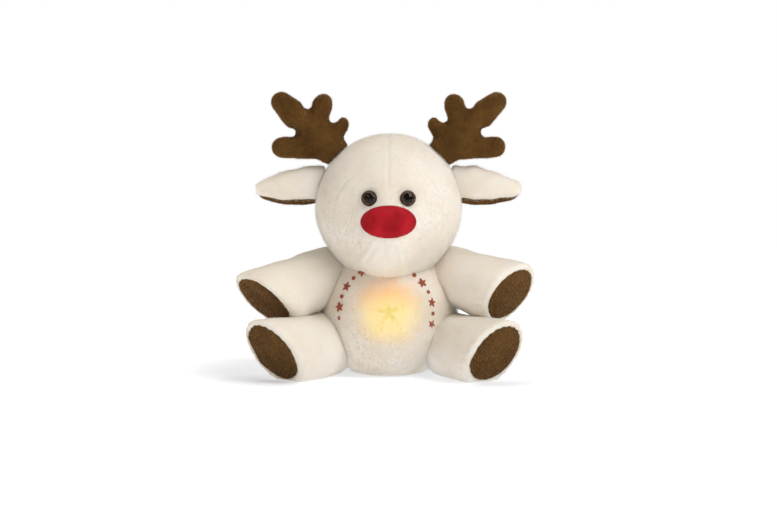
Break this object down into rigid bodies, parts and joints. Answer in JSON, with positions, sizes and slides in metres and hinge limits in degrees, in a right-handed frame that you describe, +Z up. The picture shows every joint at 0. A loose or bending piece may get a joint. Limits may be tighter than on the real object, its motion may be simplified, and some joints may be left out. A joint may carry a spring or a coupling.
{
  "type": "light-up plush reindeer",
  "caption": "Seated plush reindeer with a glowing belly lamp, soft antlers, folded ears, red nose and a battery box in its back.",
  "frame": {"origin": "centre of the flat seat, on the surface the toy sits on", "axes": "+Z up, the toy faces -Y, +X is the toy's own left"},
  "size_m": [0.2772, 0.1795, 0.2703],
  "materials": {
    "cream_pile": "short sherpa-like pile",
    "base_cloth": "short pile",
    "brown_velvet": "brushed velboa",
    "red_velvet": "brushed velvet",
    "stuffing": "polyester fibre fill",
    "thread": "polyester thread",
    "lining_cloth": "woven cloth",
    "hook_loop": "hook-and-loop strip",
    "eye_clear": "clear acrylic",
    "eye_iris": "dark brown with a black pupil",
    "washer_plastic": "moulded",
    "lamp_shell": "moulded ABS",
    "lamp_lens": "milky polypropylene",
    "led": "warm white LED",
    "board": "glass-epoxy board",
    "switch_black": "moulded",
    "box_plastic": "moulded ABS",
    "cell_jacket": "printed jacket",
    "metal": "nickel plated",
    "wire": "PVC insulation"
  },
  "bodies": {
    "body": {"base_panel": "base_cloth", "belly_panel": "cream_pile", "back_panel": "cream_pile", "body_stuffing": "stuffing", "lamp_housing": "lamp_shell", "lamp_board": "board", "lamp_leds": "led", "lamp_switch": "switch_black", "lamp_lead": "wire", "back_pocket": "lining_cloth", "battery_box": "box_plastic", "battery_cover": "box_plastic", "cover_screw": "metal", "batteries": "cell_jacket", "battery_contacts": "metal", "hook_strip": "hook_loop"},
    "neck": {"neck_stitching": "thread"},
    "head": {"head_panel_left": "cream_pile", "head_panel_right": "cream_pile", "head_stuffing": "stuffing", "nose_cover": "red_velvet", "nose_filling": "stuffing", "left_eye_dome": "eye_clear", "left_eye_iris": "eye_iris", "left_eye_washer": "washer_plastic", "right_eye_dome": "eye_clear", "right_eye_iris": "eye_iris", "right_eye_washer": "washer_plastic"},
    "lamp_key": {"lamp_diffuser": "lamp_lens"},
    "power_slide": {"power_switch": "switch_black"},
    "flap": {"back_flap": "cream_pile", "loop_strip": "hook_loop"},
    "tail": {"tail": "cream_pile"},
    "left_arm": {"left_arm_cover": "cream_pile", "left_arm_stuffing": "stuffing", "left_paw_pad": "brown_velvet"},
    "left_leg": {"left_leg_cover": "cream_pile", "left_leg_stuffing": "stuffing", "left_foot_pad": "brown_velvet"},
    "left_ear": {"left_ear_cover": "cream_pile", "left_ear_lining": "brown_velvet"},
    "left_antler": {"left_antler_front": "brown_velvet", "left_antler_back": "brown_velvet", "left_antler_stuffing": "stuffing"},
    "right_arm": {"right_arm_cover": "cream_pile", "right_arm_stuffing": "stuffing", "right_paw_pad": "brown_velvet"},
    "right_leg": {"right_leg_cover": "cream_pile", "right_leg_stuffing": "stuffing", "right_foot_pad": "brown_velvet"},
    "right_ear": {"right_ear_cover": "cream_pile", "right_ear_lining": "brown_velvet"},
    "right_antler": {"right_antler_front": "brown_velvet", "right_antler_back": "brown_velvet", "right_antler_stuffing": "stuffing"}
  },
  "joints": [
    {"name": "head_turn", "type": "hinge", "parent": "body", "child": "neck", "pos_m": [0, -0.014, 0.16], "axis": [0, -0.1386, 0.9903], "range_deg": [-20, 20], "stiffness_Nm_per_rad": 0.6},
    {"name": "head_nod", "type": "hinge", "parent": "neck", "child": "head", "pos_m": [0, -0.014, 0.16], "axis": [1, 0, 0], "range_deg": [-10, 5], "stiffness_Nm_per_rad": 0.6},
    {"name": "left_arm_swing", "type": "hinge", "parent": "body", "child": "left_arm", "pos_m": [0.05006, -0.00403, 0.096], "axis": [-0.6115, -0.1218, 0.7818], "range_deg": [0, 40], "stiffness_Nm_per_rad": 0.15},
    {"name": "left_leg_splay", "type": "hinge", "parent": "body", "child": "left_leg", "pos_m": [0.038, -0.014, 0.027], "axis": [0, 0, 1], "range_deg": [-20, 10], "stiffness_Nm_per_rad": 0.2},
    {"name": "left_ear_flap", "type": "hinge", "parent": "head", "child": "left_ear", "pos_m": [0.06648, -0.008, 0.183], "axis": [0.1857, 0, 0.9826], "range_deg": [-20, 20], "stiffness_Nm_per_rad": 0.03},
    {"name": "left_antler_flex", "type": "hinge", "parent": "head", "child": "left_antler", "pos_m": [0.05087, -0.014, 0.20895], "axis": [0.6934, 0, -0.7206], "range_deg": [-12, 12], "stiffness_Nm_per_rad": 0.15},
    {"name": "right_arm_swing", "type": "hinge", "parent": "body", "child": "right_arm", "pos_m": [-0.05006, -0.00403, 0.096], "axis": [-0.6115, 0.1218, -0.7818], "range_deg": [0, 40], "stiffness_Nm_per_rad": 0.15},
    {"name": "right_leg_splay", "type": "hinge", "parent": "body", "child": "right_leg", "pos_m": [-0.038, -0.014, 0.027], "axis": [0, 0, 1], "range_deg": [0, 20], "stiffness_Nm_per_rad": 0.2},
    {"name": "right_ear_flap", "type": "hinge", "parent": "head", "child": "right_ear", "pos_m": [-0.06648, -0.008, 0.183], "axis": [-0.1857, 0, 0.9826], "range_deg": [-20, 20], "stiffness_Nm_per_rad": 0.03},
    {"name": "right_antler_flex", "type": "hinge", "parent": "head", "child": "right_antler", "pos_m": [-0.05087, -0.014, 0.20895], "axis": [-0.6934, 0, -0.7206], "range_deg": [-12, 12], "stiffness_Nm_per_rad": 0.15},
    {"name": "tail_wag", "type": "hinge", "parent": "body", "child": "tail", "pos_m": [0, 0.04895, 0.015], "axis": [0, 0, 1], "range_deg": [-20, 20], "stiffness_Nm_per_rad": 0.02},
    {"name": "flap_open", "type": "hinge", "parent": "body", "child": "flap", "pos_m": [0, 0.06315, 0.0865], "axis": [1, 0, 0], "range_deg": [0, 110]},
    {"name": "power_slide", "type": "slide", "parent": "body", "child": "power_slide", "axis": [1, 0, 0], "range_m": [0, 0.003]},
    {"name": "lamp_press", "type": "slide", "parent": "body", "child": "lamp_key", "axis": [0, 1, 0], "range_m": [0, 0.0012], "stiffness_N_per_m": 800}
  ]
}
